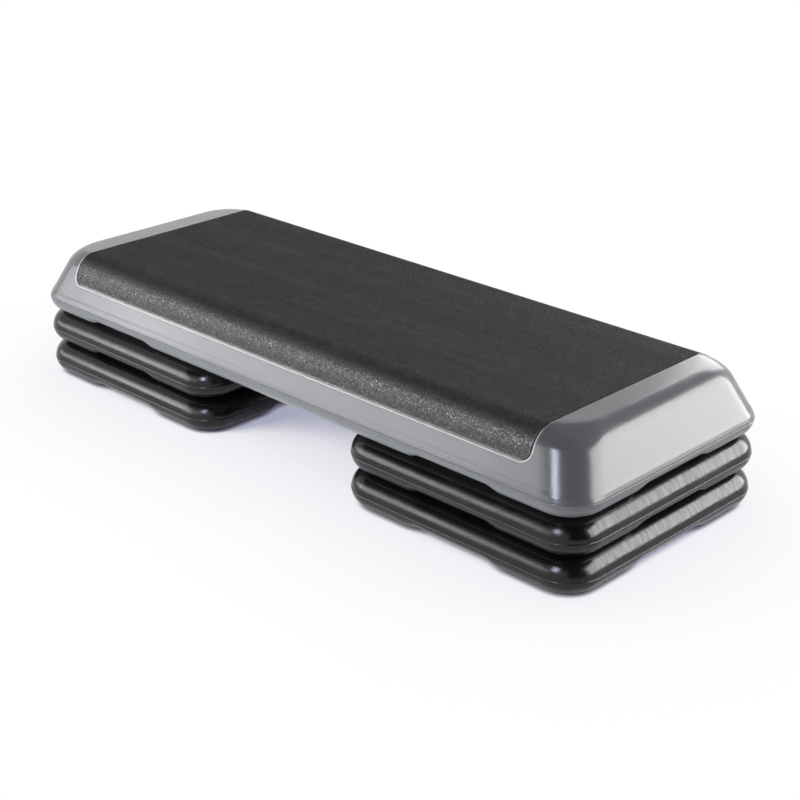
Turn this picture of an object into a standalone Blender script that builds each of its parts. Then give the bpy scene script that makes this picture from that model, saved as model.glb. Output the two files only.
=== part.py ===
"""Aerobic step: a hollow deck with a rubber tread, on two stacks of two square risers.

Metres, +Z up. The origin is on the floor under the middle of the deck. +X runs along the deck,
and its long sides face -Y and +Y.
"""

import math
from collections import namedtuple

import bmesh
import bpy

# Deck: a grey blow-moulded shell
DECK_LENGTH = 1.080
DECK_WIDTH = 0.410
DECK_HEIGHT = 0.0970
DECK_CORNER_RADIUS = 0.0550
DECK_BOTTOM_ROUND = 0.0224
DECK_LIP_ROUND = 0.0100
DECK_TOP_ROUND = 0.0340
DECK_SLOPE_DEGREES = 66.5
DECK_WALL = 0.0040

# Tread: a rubber sheet bent over the deck's long edges
TREAD_THICKNESS = 0.0022
TREAD_END_MARGIN = 0.0876
TREAD_SIDE_DROP = 0.0400
TREAD_CORNER_RADIUS = 0.0130
TREAD_SEAM = 0.0010

# Risers: square black blow-moulded blocks, as wide as the deck but for a small overhang
RISER_HEIGHT = 0.0502
RISER_CORNER_RADIUS = 0.0516
RISER_BOTTOM_ROUND = 0.0230
RISER_WALL = 0.0035
RISER_SIDE_INSET = 0.0018
RISER_END_INSET = 0.0
RISERS_IN_STACK = ("lower", "upper")

# Lugs on each riser's top, and the sockets that they enter
LUG_SPACING = 0.2100
LUG_BASE_DIAMETER = 0.0440
LUG_TOP_DIAMETER = 0.0340
LUG_HEIGHT = 0.0120
SOCKET_CLEARANCE = 0.0010

# Finger reliefs, where the bottom round is squeezed upward along the middle of a side
RELIEF_WIDTH = 0.1500
RELIEF_HEIGHT = 0.0060
RELIEF_END_RAMP = 0.0160
RELIEF_INNER_RAMP = 0.0080
RELIEF_DEPTH = 0.0320

# Tack-off wells, where the bottom skin is drawn up to the top one
DECK_WELL_MOUTH = 0.0360
DECK_WELL_TIP = 0.0220
DECK_WELL_ROW_SPACING = 0.1040
DECK_WELL_PITCH = 0.1125
RISER_WELL_MOUTH = 0.0600
RISER_WELL_TIP = 0.0340

# Vent hole left by the moulding's blow pin, beside a riser's well
VENT_DIAMETER = 0.0060
VENT_TO_WELL = 0.0170

# Rubber feet
FOOT_DIAMETER = 0.0240
FOOT_THICKNESS = 0.0030
FOOT_PROJECTION = 0.0013
FOOT_CHAMFER = 0.0008
FOOT_INSET = 0.0512

# Clearances
SEAT_GAP = 0.0003
CUTTER_REACH = 0.0020
CUTTER_SKIM = 0.0002

# Facets
DECK_CORNER_STEPS = 6
RISER_CORNER_STEPS = 5
CAVITY_CORNER_STEPS = 3
ROUND_STEPS = 4
HOUSING_ROUND_STEPS = 2
TOP_ROUND_STEPS = 5
TREAD_CORNER_STEPS = 4
ROUND_SIDES = 12
HOUSING_SIDES = 8
SMOOTH_ANGLE_DEGREES = 32.0

# Derived places
RISER_SIZE = DECK_WIDTH - 2 * RISER_SIDE_INSET
RISER_PITCH = RISER_HEIGHT + FOOT_PROJECTION + SEAT_GAP
RISER_TOP_ROUND = RISER_HEIGHT - RISER_BOTTOM_ROUND
RISER_CENTRE_X = DECK_LENGTH / 2 - RISER_END_INSET - RISER_SIZE / 2
DECK_BASE_Z = len(RISERS_IN_STACK) * RISER_PITCH + FOOT_PROJECTION
RECESS_DEPTH = TREAD_THICKNESS + SEAT_GAP
POCKET_DEPTH = FOOT_THICKNESS - FOOT_PROJECTION + SEAT_GAP
SLOPE = math.radians(DECK_SLOPE_DEGREES)

# A station is a point of a side profile: how far in from the widest line, how high above the
# moulding's bottom, and the way the surface faces (0 is down, 90 degrees is out, 180 is up).
Station = namedtuple("Station", "inset height facing")

# A plan is the outline at the widest line. Where upper_corner_stays is true, the corner keeps
# its radius up the side, as the deck's does; elsewhere the corner tightens with the inset.
Plan = namedtuple("Plan", "half_x half_y corner steps upper_corner_stays")


def arc_stations(centre_inset, centre_height, radius, first, last, steps):
    """Stations round an arc of the side profile, between two facing angles in degrees."""
    stations = []
    for step in range(steps + 1):
        facing = math.radians(first + (last - first) * step / steps)
        inset = centre_inset - radius * math.sin(facing)
        height = centre_height - radius * math.cos(facing)
        stations.append(Station(inset, height, facing))
    return stations


def shifted(station, inward):
    """The station moved square to the surface, into the material."""
    inset = station.inset + inward * math.sin(station.facing)
    height = station.height + inward * math.cos(station.facing)
    return Station(inset, height, station.facing)


def deck_bottom_stations():
    """The round from the flat bottom to the widest line."""
    round_centre = DECK_BOTTOM_ROUND
    return arc_stations(round_centre, round_centre, DECK_BOTTOM_ROUND, 0, 90, ROUND_STEPS)


def deck_lip_stations():
    """The small round from the widest line to the sloping side."""
    facing = 180 - DECK_SLOPE_DEGREES
    return arc_stations(DECK_LIP_ROUND, DECK_BOTTOM_ROUND, DECK_LIP_ROUND, 90, facing, 2)


def slope_station(height):
    """A point on the straight sloping side."""
    start = deck_lip_stations()[-1]
    inset = start.inset + (height - start.height) / math.tan(SLOPE)
    return Station(inset, height, math.pi - SLOPE)


def deck_top_stations():
    """The round from the sloping side to the flat top."""
    centre_height = DECK_HEIGHT - DECK_TOP_ROUND
    start_height = centre_height + DECK_TOP_ROUND * math.cos(SLOPE)
    centre_inset = slope_station(start_height).inset + DECK_TOP_ROUND * math.sin(SLOPE)
    first = 180 - DECK_SLOPE_DEGREES
    return arc_stations(centre_inset, centre_height, DECK_TOP_ROUND, first, 180, TOP_ROUND_STEPS)


def riser_stations(steps):
    """The full bullnose of a riser's side."""
    lower = arc_stations(RISER_BOTTOM_ROUND, RISER_BOTTOM_ROUND, RISER_BOTTOM_ROUND, 0, 90, steps)
    upper = arc_stations(RISER_TOP_ROUND, RISER_BOTTOM_ROUND, RISER_TOP_ROUND, 90, 180, steps)
    return lower + upper[1:]


def rounded_rectangle(half_x, half_y, radius, height, steps):
    """One level ring, anticlockwise from above."""
    ring = []
    for quarter in range(4):
        middle_x = (half_x - radius) * (1 if quarter in (0, 3) else -1)
        middle_y = (half_y - radius) * (1 if quarter in (0, 1) else -1)
        for step in range(steps + 1):
            angle = math.pi / 2 * (quarter + step / steps)
            x = middle_x + radius * math.cos(angle)
            y = middle_y + radius * math.sin(angle)
            ring.append((x, y, height))
    return ring


def circle(centre_x, centre_y, radius, height, sides=ROUND_SIDES):
    """One level ring of a round shape, anticlockwise from above."""
    ring = []
    for side in range(sides):
        angle = 2 * math.pi * (side + 0.5) / sides
        x = centre_x + radius * math.cos(angle)
        y = centre_y + radius * math.sin(angle)
        ring.append((x, y, height))
    return ring


def loft(rings):
    """A closed skin through rings of equal length, with a flat cap at each end."""
    count = len(rings[0])
    points = [point for ring in rings for point in ring]
    faces = []
    for level in range(len(rings) - 1):
        lower = level * count
        upper = lower + count
        for i in range(count):
            j = (i + 1) % count
            faces.append((lower + i, lower + j, upper + j, upper + i))
    last = (len(rings) - 1) * count
    faces.append(tuple(reversed(range(count))))
    faces.append(tuple(range(last, last + count)))
    return points, faces


def ring_at(station, inward, plan):
    """The moulding's ring at a station, moved in by the thickness of what lies outside it."""
    inner = shifted(station, inward)
    corner_loss = inner.inset
    if plan.upper_corner_stays and station.facing > math.pi / 2:
        corner_loss = inward * math.sin(station.facing)
    half_x = plan.half_x - inner.inset
    half_y = plan.half_y - inner.inset
    return rounded_rectangle(half_x, half_y, plan.corner - corner_loss, inner.height, plan.steps)


def cone(centre_x, centre_y, low_radius, high_radius, low, high, inside=False):
    """A round post or hole, straight or tapered, with fewer sides where only the cavity sees it."""
    sides = HOUSING_SIDES if inside else ROUND_SIDES
    lower = circle(centre_x, centre_y, low_radius, low, sides)
    upper = circle(centre_x, centre_y, high_radius, high, sides)
    return loft([lower, upper])


def square_places(middle_x, reach):
    """Four places round a middle, such as the lugs of one riser."""
    return [(middle_x + i * reach, j * reach) for i in (-1, 1) for j in (-1, 1)]


def lug_radius(above):
    """A lug's radius at a height above the top face that it stands on."""
    taper = (LUG_BASE_DIAMETER - LUG_TOP_DIAMETER) / 2 / LUG_HEIGHT
    return LUG_BASE_DIAMETER / 2 - taper * above


def lug(x, y):
    """A lug, sunk a little into the top so that it joins the skin."""
    low = -RISER_WALL / 2
    base = RISER_HEIGHT
    return cone(x, y, lug_radius(low), lug_radius(LUG_HEIGHT), base + low, base + LUG_HEIGHT)


def lug_hollow(x, y):
    """The inside of a lug, which opens into the riser's cavity."""
    low = -RISER_WALL - CUTTER_REACH
    high = LUG_HEIGHT - RISER_WALL
    base = RISER_HEIGHT
    low_radius = lug_radius(low) - RISER_WALL
    high_radius = lug_radius(high) - RISER_WALL
    return cone(x, y, low_radius, high_radius, base + low, base + high, inside=True)


def socket(x, y, wall):
    """The socket in an underside, or with a wall the housing that the cavity leaves round it."""
    standoff = FOOT_PROJECTION + SEAT_GAP
    depth = LUG_HEIGHT - standoff + SOCKET_CLEARANCE + wall
    low_radius = lug_radius(standoff - CUTTER_REACH) + SOCKET_CLEARANCE + wall
    high_radius = lug_radius(standoff + depth - wall) + SOCKET_CLEARANCE + wall
    return cone(x, y, low_radius, high_radius, -CUTTER_REACH, depth, inside=wall > 0)


def well(x, y, mouth, tip, depth, wall):
    """A tack-off well, or with a wall the post that the cavity leaves round it."""
    height = depth + wall + (CUTTER_REACH if wall else 0)
    return cone(x, y, mouth / 2 + wall, tip / 2 + wall, -CUTTER_REACH, height, inside=wall > 0)


def pocket(x, y, wall):
    """The pocket that a foot sits in, or with a wall the housing that the cavity leaves."""
    radius = FOOT_DIAMETER / 2 + SEAT_GAP + wall
    return cone(x, y, radius, radius, -CUTTER_REACH, POCKET_DEPTH + wall, inside=wall > 0)


def vent(x, y, wall):
    """The hole through the bottom skin."""
    return cone(x, y, VENT_DIAMETER / 2, VENT_DIAMETER / 2, -CUTTER_REACH, wall + CUTTER_REACH)


def relief_section(lift, radius, wall, steps):
    """(outward, height) points of a relief's section: over the squeezed round, then back below it."""
    deep = RELIEF_DEPTH + wall
    section = [(-deep, -CUTTER_REACH), (RELIEF_INNER_RAMP - deep, lift + wall)]
    for station in arc_stations(radius, radius, radius, 0, 90, steps):
        inner = shifted(station, wall)
        squeezed = inner.height + lift * (1 - inner.height / radius)
        section.append((-inner.inset, squeezed))
    section[-1] = (CUTTER_SKIM - wall, radius)
    section += [(CUTTER_REACH, radius), (CUTTER_REACH, -CUTTER_REACH)]
    return section


def relief(middle_x, middle_y, out_x, out_y, radius, wall, steps):
    """A finger relief under one side, whose bottom round has this radius; out_x and out_y point out."""
    half = RELIEF_WIDTH / 2 + wall
    level = half - RELIEF_END_RAMP
    rings = []
    for along, lift in ((-half, -CUTTER_SKIM), (-level, RELIEF_HEIGHT), (level, RELIEF_HEIGHT), (half, -CUTTER_SKIM)):
        ring = []
        for outward, height in relief_section(lift, radius, wall, steps):
            x = middle_x + out_x * outward - out_y * along
            y = middle_y + out_y * outward + out_x * along
            ring.append((x, y, height))
        rings.append(ring)
    return loft(rings)


def riser_reliefs(wall):
    """The reliefs of the four sides of a riser."""
    half = RISER_SIZE / 2
    steps = HOUSING_ROUND_STEPS if wall else ROUND_STEPS
    sides = ((1, 0), (0, 1), (-1, 0), (0, -1))
    return [relief(half * x, half * y, x, y, RISER_BOTTOM_ROUND, wall, steps) for x, y in sides]


def deck_reliefs(wall):
    """The reliefs of the deck, each over one of a riser's."""
    sides = [(end * DECK_LENGTH / 2, 0, end, 0) for end in (-1, 1)]
    sides += [(end * RISER_CENTRE_X, side * DECK_WIDTH / 2, 0, side) for end in (-1, 1) for side in (-1, 1)]
    steps = HOUSING_ROUND_STEPS if wall else ROUND_STEPS
    return [relief(*side, DECK_BOTTOM_ROUND, wall, steps) for side in sides]


def deck_well_places():
    """Two rows of wells along the deck, with one over each riser's middle."""
    columns = 2 * int(RISER_CENTRE_X / DECK_WELL_PITCH + 0.5) + 1
    pitch = 2 * RISER_CENTRE_X / (columns - 1)
    places = []
    for column in range(columns):
        for row in (-1, 1):
            x = -RISER_CENTRE_X + column * pitch
            places.append((x, row * DECK_WELL_ROW_SPACING / 2))
    return places


def deck_underside(wall):
    """What is drawn up into the deck from below, or with a wall the housings round it."""
    depth = DECK_HEIGHT - RECESS_DEPTH - 2 * DECK_WALL
    shapes = deck_reliefs(wall)
    for middle_x in (-RISER_CENTRE_X, RISER_CENTRE_X):
        shapes += [socket(x, y, wall) for x, y in square_places(middle_x, LUG_SPACING / 2)]
    for x, y in deck_well_places():
        shapes.append(well(x, y, DECK_WELL_MOUTH, DECK_WELL_TIP, depth, wall))
    shapes += [pocket(x, y, wall) for x, y in deck_foot_places()]
    return shapes


def riser_underside(wall):
    """What is drawn up into a riser from below, or with a wall the housings round it."""
    depth = RISER_HEIGHT - 2 * RISER_WALL
    shapes = riser_reliefs(wall)
    shapes += [socket(x, y, wall) for x, y in square_places(0, LUG_SPACING / 2)]
    shapes.append(well(0, 0, RISER_WELL_MOUTH, RISER_WELL_TIP, depth, wall))
    shapes += [pocket(x, y, wall) for x, y in riser_foot_places()]
    return shapes


def riser_foot_places():
    """A foot near each corner of a riser."""
    return square_places(0, RISER_SIZE / 2 - FOOT_INSET)


def deck_foot_places():
    """A foot near each corner of the deck, over the outer feet of the risers."""
    reach_x = RISER_CENTRE_X + RISER_SIZE / 2 - FOOT_INSET
    reach_y = RISER_SIZE / 2 - FOOT_INSET
    return [(i * reach_x, j * reach_y) for i in (-1, 1) for j in (-1, 1)]


def tread_sections(margin, steps):
    """Half lengths and stations of the tread's outline, from its low edge up to the flat top.

    The margin is how far the outline lies outside the tread's own.
    """
    low = DECK_HEIGHT - TREAD_SIDE_DROP
    top = deck_top_stations()
    slope_length = (top[0].height - low) / math.sin(SLOPE)
    radius = min(TREAD_CORNER_RADIUS, slope_length - TREAD_SEAM) + margin
    half_length = DECK_LENGTH / 2 - TREAD_END_MARGIN + margin
    sections = []
    for step in range(steps + 1):
        angle = math.pi / 2 * step / steps
        half = half_length - radius * (1 - math.sin(angle))
        up = radius * (1 - math.cos(angle)) - margin
        sections.append((half, slope_station(low + up * math.sin(SLOPE))))
    sections += [(half_length, station) for station in top]
    return sections


def bent_plate(margin, top_depth, bottom_depth, steps):
    """A sheet over the deck's top, between two depths below the deck's surface."""
    near = []
    far = []
    for half, station in tread_sections(margin, steps):
        outer = shifted(station, top_depth)
        inner = shifted(station, bottom_depth)
        for side, rings in ((-1, near), (1, far)):
            outer_y = side * (DECK_WIDTH / 2 - outer.inset)
            inner_y = side * (DECK_WIDTH / 2 - inner.inset)
            ring = [
                (-half, inner_y, inner.height),
                (half, inner_y, inner.height),
                (half, outer_y, outer.height),
                (-half, outer_y, outer.height),
            ]
            rings.append(ring)
    return loft(near + far[::-1])


def mesh_object(name, shapes, helper=False):
    """One object from closed shapes, with every face turned outward."""
    points = []
    faces = []
    for shape_points, shape_faces in shapes:
        start = len(points)
        points += shape_points
        faces += [tuple(start + i for i in face) for face in shape_faces]
    mesh = bpy.data.meshes.new(name)
    mesh.from_pydata(points, [], faces)
    skin = bmesh.new()
    skin.from_mesh(mesh)
    bmesh.ops.recalc_face_normals(skin, faces=skin.faces)
    skin.to_mesh(mesh)
    skin.free()
    body = bpy.data.objects.new(name, mesh)
    bpy.context.scene.collection.objects.link(body)
    if helper:
        body.hide_render = True
        body.display_type = "WIRE"
    return body


def add_boolean(body, operation, helper):
    """A live cut or union, between a moulding and one of its helpers."""
    modifier = body.modifiers.new(helper.name, "BOOLEAN")
    modifier.operation = operation
    modifier.solver = "EXACT"
    modifier.use_self = True
    modifier.object = helper


def baked_mesh(body):
    """The moulding's mesh with its cuts made, shaded smooth except at its real edges."""
    bpy.context.view_layer.update()
    depsgraph = bpy.context.evaluated_depsgraph_get()
    mesh = bpy.data.meshes.new_from_object(body.evaluated_get(depsgraph))
    mesh.shade_smooth()
    mesh.set_sharp_from_angle(angle=math.radians(SMOOTH_ANGLE_DEGREES))
    return mesh


def hollow_moulding(name, outside, lugs, cavity, hollows, housings, cuts):
    """The mesh of one blow moulding: an outside with lugs, less its cavity and its cuts."""
    body = mesh_object(name, [outside], helper=True)
    cavity_body = mesh_object(name + "_cavity", [cavity], helper=True)
    helpers = [body, cavity_body]
    steps = [
        (body, "UNION", "_lugs", lugs),
        (cavity_body, "UNION", "_lug_hollows", hollows),
        (cavity_body, "DIFFERENCE", "_housings", housings),
    ]
    for target, operation, ending, shapes in steps:
        if shapes:
            helper = mesh_object(name + ending, shapes, helper=True)
            add_boolean(target, operation, helper)
            helpers.append(helper)
    cutter = mesh_object(name + "_cuts", cuts, helper=True)
    helpers.append(cutter)
    add_boolean(body, "DIFFERENCE", cavity_body)
    add_boolean(body, "DIFFERENCE", cutter)
    mesh = baked_mesh(body)
    for helper in helpers:
        bpy.data.objects.remove(helper)
    return mesh


def deck_mesh():
    """The deck's shell, hollow, with its tread recess and the housings of its underside."""
    plan = Plan(DECK_LENGTH / 2, DECK_WIDTH / 2, DECK_CORNER_RADIUS, DECK_CORNER_STEPS, True)
    stations = deck_bottom_stations() + deck_lip_stations()[1:] + deck_top_stations()
    outside = loft([ring_at(station, 0.0, plan) for station in stations])

    inner_plan = plan._replace(steps=CAVITY_CORNER_STEPS)
    top_wall = DECK_WALL + RECESS_DEPTH
    step_low = DECK_HEIGHT - TREAD_SIDE_DROP - 2 * DECK_WALL
    step_high = step_low + DECK_WALL
    inner = [(station, DECK_WALL) for station in deck_bottom_stations()]
    inner += [(station, DECK_WALL) for station in deck_lip_stations()[1:]]
    inner.append((slope_station(step_low), DECK_WALL))
    inner.append((slope_station(step_high), top_wall))
    inner += [(station, top_wall) for station in deck_top_stations()]
    cavity = loft([ring_at(station, wall, inner_plan) for station, wall in inner])

    cuts = deck_underside(0.0)
    cuts.append(vent(0, 0, DECK_WALL))
    cuts.append(bent_plate(TREAD_SEAM, -CUTTER_REACH, RECESS_DEPTH, TREAD_CORNER_STEPS))
    return hollow_moulding("deck_shell", outside, [], cavity, [], deck_underside(DECK_WALL), cuts)


def riser_mesh():
    """A riser's shell, hollow, with lugs on top and the housings of its underside."""
    half = RISER_SIZE / 2
    plan = Plan(half, half, RISER_CORNER_RADIUS, RISER_CORNER_STEPS, False)
    outside = loft([ring_at(station, 0.0, plan) for station in riser_stations(ROUND_STEPS)])
    inner_plan = plan._replace(steps=CAVITY_CORNER_STEPS)
    inner = riser_stations(ROUND_STEPS - 1)
    cavity = loft([ring_at(station, RISER_WALL, inner_plan) for station in inner])
    places = square_places(0, LUG_SPACING / 2)
    lugs = [lug(x, y) for x, y in places]
    hollows = [lug_hollow(x, y) for x, y in places]
    cuts = riser_underside(0.0)
    vent_y = RISER_WELL_MOUTH / 2 + VENT_TO_WELL + VENT_DIAMETER / 2
    cuts.append(vent(0, vent_y, RISER_WALL))
    housings = riser_underside(RISER_WALL)
    return hollow_moulding("riser_shell", outside, lugs, cavity, hollows, housings, cuts)


def finish(name, colour, roughness):
    """A plain material of one colour."""
    material = bpy.data.materials.new(name)
    material.use_nodes = True
    shader = material.node_tree.nodes["Principled BSDF"]
    shader.inputs["Base Color"].default_value = (*colour, 1.0)
    shader.inputs["Roughness"].default_value = roughness
    shader.inputs["Metallic"].default_value = 0.0
    return material


def place(name, mesh, material, carrier, location):
    """One piece, standing on its carrier's empty."""
    piece = bpy.data.objects.new(name, mesh)
    bpy.context.scene.collection.objects.link(piece)
    piece.data.materials.clear()
    piece.data.materials.append(material)
    piece.parent = carrier
    piece.location = location
    return piece


def carrier_empty(name, location):
    """The empty that holds the pieces of one body."""
    empty = bpy.data.objects.new(name, None)
    empty.location = location
    bpy.context.scene.collection.objects.link(empty)
    return empty


def foot_mesh():
    """A round rubber foot, chamfered where it meets the floor."""
    radius = FOOT_DIAMETER / 2
    rings = [
        circle(0, 0, radius - FOOT_CHAMFER, 0),
        circle(0, 0, radius, FOOT_CHAMFER),
        circle(0, 0, radius, FOOT_THICKNESS),
    ]
    pattern = mesh_object("foot_pattern", [loft(rings)], helper=True)
    mesh = baked_mesh(pattern)
    bpy.data.objects.remove(pattern)
    return mesh


def tread_mesh():
    """The rubber sheet, flush with the deck round it."""
    sheet = bent_plate(0.0, 0.0, TREAD_THICKNESS, TREAD_CORNER_STEPS)
    pattern = mesh_object("tread_pattern", [sheet], helper=True)
    mesh = baked_mesh(pattern)
    bpy.data.objects.remove(pattern)
    return mesh


def add_feet(owner, mesh, material, carrier, places):
    """The feet of one moulding, named by the corner that each is at."""
    for x, y in places:
        side = "front" if y < 0 else "back"
        end = "left" if x < 0 else "right"
        place(f"{owner}_foot_{side}_{end}", mesh, material, carrier, (x, y, 0))


def build_riser(owner, shell, foot, materials, middle_x, level):
    """One riser with its feet."""
    carrier = carrier_empty(owner + "_carrier", (middle_x, 0, level * RISER_PITCH))
    place(owner + "_shell", shell, materials["riser"], carrier, (0, 0, FOOT_PROJECTION))
    add_feet(owner, foot, materials["foot"], carrier, riser_foot_places())


def build_deck(foot, materials):
    """The deck with its tread and feet."""
    foot_z = DECK_BASE_Z - FOOT_PROJECTION
    carrier = carrier_empty("deck_carrier", (0, 0, foot_z))
    place("deck_shell", deck_mesh(), materials["deck"], carrier, (0, 0, FOOT_PROJECTION))
    place("tread", tread_mesh(), materials["tread"], carrier, (0, 0, FOOT_PROJECTION))
    add_feet("deck", foot, materials["foot"], carrier, deck_foot_places())


def clear_scene():
    """Removes what the scene holds at the start."""
    for item in list(bpy.data.objects):
        bpy.data.objects.remove(item)


def build():
    """The whole step."""
    clear_scene()
    materials = {
        "deck": finish("grey_polyethylene", (0.300, 0.306, 0.318), 0.42),
        "tread": finish("black_pebbled_rubber", (0.042, 0.041, 0.040), 0.80),
        "riser": finish("black_polyethylene", (0.030, 0.030, 0.031), 0.40),
        "foot": finish("black_rubber", (0.018, 0.018, 0.018), 0.90),
    }
    shell = riser_mesh()
    foot = foot_mesh()
    for side, end in (("left", -1), ("right", 1)):
        for level, height_name in enumerate(RISERS_IN_STACK):
            owner = f"{side}_{height_name}_riser"
            build_riser(owner, shell, foot, materials, end * RISER_CENTRE_X, level)
    build_deck(foot, materials)


build()
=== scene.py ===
"""The looks of an aerobic step: a grey deck with a rubber tread, on two stacks of two black risers.

Metres, +Z up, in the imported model's frame. The sections go from the ground up: the risers, the deck
and its tread. The feet under all of them come next, and the studio is last.
"""

import math

import bmesh
import bpy
from mathutils import Matrix, Vector


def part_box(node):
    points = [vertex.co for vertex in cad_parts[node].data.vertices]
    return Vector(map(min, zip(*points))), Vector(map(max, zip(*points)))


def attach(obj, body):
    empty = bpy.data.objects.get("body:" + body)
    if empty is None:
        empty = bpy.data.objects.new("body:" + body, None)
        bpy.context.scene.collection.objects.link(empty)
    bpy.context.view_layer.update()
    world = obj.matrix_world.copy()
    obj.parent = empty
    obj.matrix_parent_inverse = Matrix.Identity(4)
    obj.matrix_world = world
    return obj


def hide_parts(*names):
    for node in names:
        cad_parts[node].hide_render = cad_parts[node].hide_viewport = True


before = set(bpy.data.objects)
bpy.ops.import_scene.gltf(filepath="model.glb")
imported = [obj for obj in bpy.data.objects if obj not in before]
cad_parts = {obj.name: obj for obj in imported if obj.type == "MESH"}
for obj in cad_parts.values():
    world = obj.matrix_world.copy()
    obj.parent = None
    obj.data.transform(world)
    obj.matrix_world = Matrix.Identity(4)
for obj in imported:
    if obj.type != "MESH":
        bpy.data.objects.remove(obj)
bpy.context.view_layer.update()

# Riser shells
# Four square blocks, each blow-moulded in black polyethylene as one hollow skin. The side is a
# full bullnose with the mould's parting line round it, the top has four lugs, and the underside
# has their sockets, a tack-off well, four foot pockets, a vent and a finger relief at each side.
RISERS = ("left_lower_riser", "left_upper_riser", "right_upper_riser", "right_lower_riser")
LUG_BASE_DIAMETER = 0.0440
LUG_TOP_DIAMETER = 0.0340
LUG_HEIGHT = 0.0120
LUG_FOOT_ROUND = 0.0025
LUG_TIP_ROUND = 0.0024
LUG_SPACING = 0.2100
RISER_CORNER_RADIUS = 0.0516
RISER_BOTTOM_ROUND = 0.0230
RISER_FLAT_REACH = 0.0450
PARTING_RIDGE = 0.0005
SWEEP_STEP = 0.0034
RELIEF = {
    "Relief Width": 0.1580,
    "Relief Height": 0.0060,
    "Relief Ramp": 0.0240,
    "Relief Depth": 0.0340,
    "Inner Ramp": 0.0120,
}
SOCKET_DEPTH = 0.0114
SOCKET_CLEARANCE = 0.0010
RISER_WELL_MOUTH_DIAMETER = 0.0600
RISER_WELL_TIP_DIAMETER = 0.0340
RISER_WELL_DEPTH = 0.0430
FOOT_INSET = 0.0512
POCKET_DIAMETER = 0.0246
POCKET_DEPTH = 0.0020
VENT_Y = 0.0500
VENT = {"mouth": 0.003, "tip": 0.003, "depth": 0.010, "lip": 0.0008, "floor_round": 0.0005}
CUTTER_REACH = 0.0020
CUTTER_BRIM = 0.00003
WELD_DISTANCE = 0.00002

riser_low, riser_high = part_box("left_lower_riser_shell")
riser_size = riser_high.x - riser_low.x
riser_height = riser_high.z - riser_low.z - LUG_HEIGHT
riser_foot_spacing = riser_size - 2 * FOOT_INSET


def arc(centre_inset, centre_height, radius, first, last, steps):
    """(inset, height) points round an arc of a side profile: 0 degrees faces down, 90 out, 180 up."""
    points = []
    for step in range(steps + 1):
        facing = math.radians(first + (last - first) * step / steps)
        inset = centre_inset - radius * math.sin(facing)
        points.append((inset, centre_height - radius * math.cos(facing)))
    return points


def rounded(corners, steps=5):
    """(radius, height) points through corners of (radius, height, round), each corner rounded."""
    points = []
    for i, (x, y, radius) in enumerate(corners):
        here = Vector((x, y))
        if radius == 0:
            points.append((x, y))
            continue
        back = (Vector(corners[i - 1][:2]) - here).normalized()
        ahead = (Vector(corners[i + 1][:2]) - here).normalized()
        half = back.angle(ahead) / 2
        centre = here + (back + ahead).normalized() * radius / math.sin(half)
        reach = radius / math.tan(half)
        first = here + back * reach - centre
        last = here + ahead * reach - centre
        start = math.atan2(first.y, first.x)
        turn = (math.atan2(last.y, last.x) - start + math.pi) % (2 * math.pi) - math.pi
        for step in range(steps + 1):
            angle = start + turn * step / steps
            points.append((centre.x + radius * math.cos(angle), centre.y + radius * math.sin(angle)))
    return points


def new_object(name, data):
    """An object in the scene."""
    item = bpy.data.objects.new(name, data)
    bpy.context.scene.collection.objects.link(item)
    return item


def turned(name, profile):
    """A helper object turned about Z from (radius, height) points that start and end on the axis."""
    sides = 48
    shape = bmesh.new()
    rings = []
    for radius, height in profile:
        if radius == 0:
            rings.append([shape.verts.new((0, 0, height))] * sides)
            continue
        ring = []
        for side in range(sides):
            angle = 2 * math.pi * side / sides
            ring.append(shape.verts.new((radius * math.cos(angle), radius * math.sin(angle), height)))
        rings.append(ring)
    for lower, upper in zip(rings, rings[1:]):
        for side in range(sides):
            after = (side + 1) % sides
            corners = (lower[side], lower[after], upper[after], upper[side])
            shape.faces.new(list(dict.fromkeys(corners)))
    bmesh.ops.recalc_face_normals(shape, faces=shape.faces)
    mesh = bpy.data.meshes.new(name)
    shape.to_mesh(mesh)
    shape.free()
    mesh.shade_smooth()
    return new_object(name, mesh)


def hollow(name, mouth, tip, depth, lip, floor_round):
    """A round cutter for an underside: it narrows upward, and its mouth has a rounded lip."""
    edge = mouth + lip + CUTTER_REACH
    return turned(name, rounded([
        (0, -CUTTER_REACH, 0), (edge, -CUTTER_REACH, 0), (edge, -CUTTER_BRIM, 0), (mouth, 0, lip),
        (tip, depth, floor_round), (0, depth, 0)]))


def feed(tree, node, inputs):
    """Feeds a node's inputs, each with a value, an output socket or the first output of a node."""
    for key, value in inputs.items():
        socket = node.inputs[key]
        if isinstance(value, bpy.types.Node):
            value = value.outputs[0]
        if isinstance(value, bpy.types.NodeSocket):
            tree.links.new(value, socket)
        else:
            socket.default_value = (*value, 1.0) if socket.type == "RGBA" else value


def add_node(tree, kind, inputs=None, **settings):
    """Adds a node, with its settings first and then what feeds it."""
    node = tree.nodes.new(kind)
    for name, value in settings.items():
        setattr(node, name, value)
    feed(tree, node, inputs or {})
    return node


def maths(tree, operation, first, second=0.0, clamp=False):
    """The output of one Math node."""
    node = add_node(tree, "ShaderNodeMath", {0: first, 1: second}, operation=operation, use_clamp=clamp)
    return node.outputs[0]


def times(tree, first, second):
    """The product of two values."""
    return maths(tree, "MULTIPLY", first, second)


def plus(tree, first, second):
    """The sum of two values."""
    return maths(tree, "ADD", first, second)


def minus(tree, first, second):
    """The first value less the second."""
    return maths(tree, "SUBTRACT", first, second)


def remap(tree, value, low, high, to_low=0.0, to_high=1.0):
    """A value's range turned smoothly into another."""
    inputs = {"Value": value, "From Min": low, "From Max": high, "To Min": to_low, "To Max": to_high}
    return add_node(tree, "ShaderNodeMapRange", inputs, interpolation_type="SMOOTHSTEP").outputs[0]


def vector(tree, **parts):
    """A vector from its parts."""
    return add_node(tree, "ShaderNodeCombineXYZ", parts)


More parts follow.
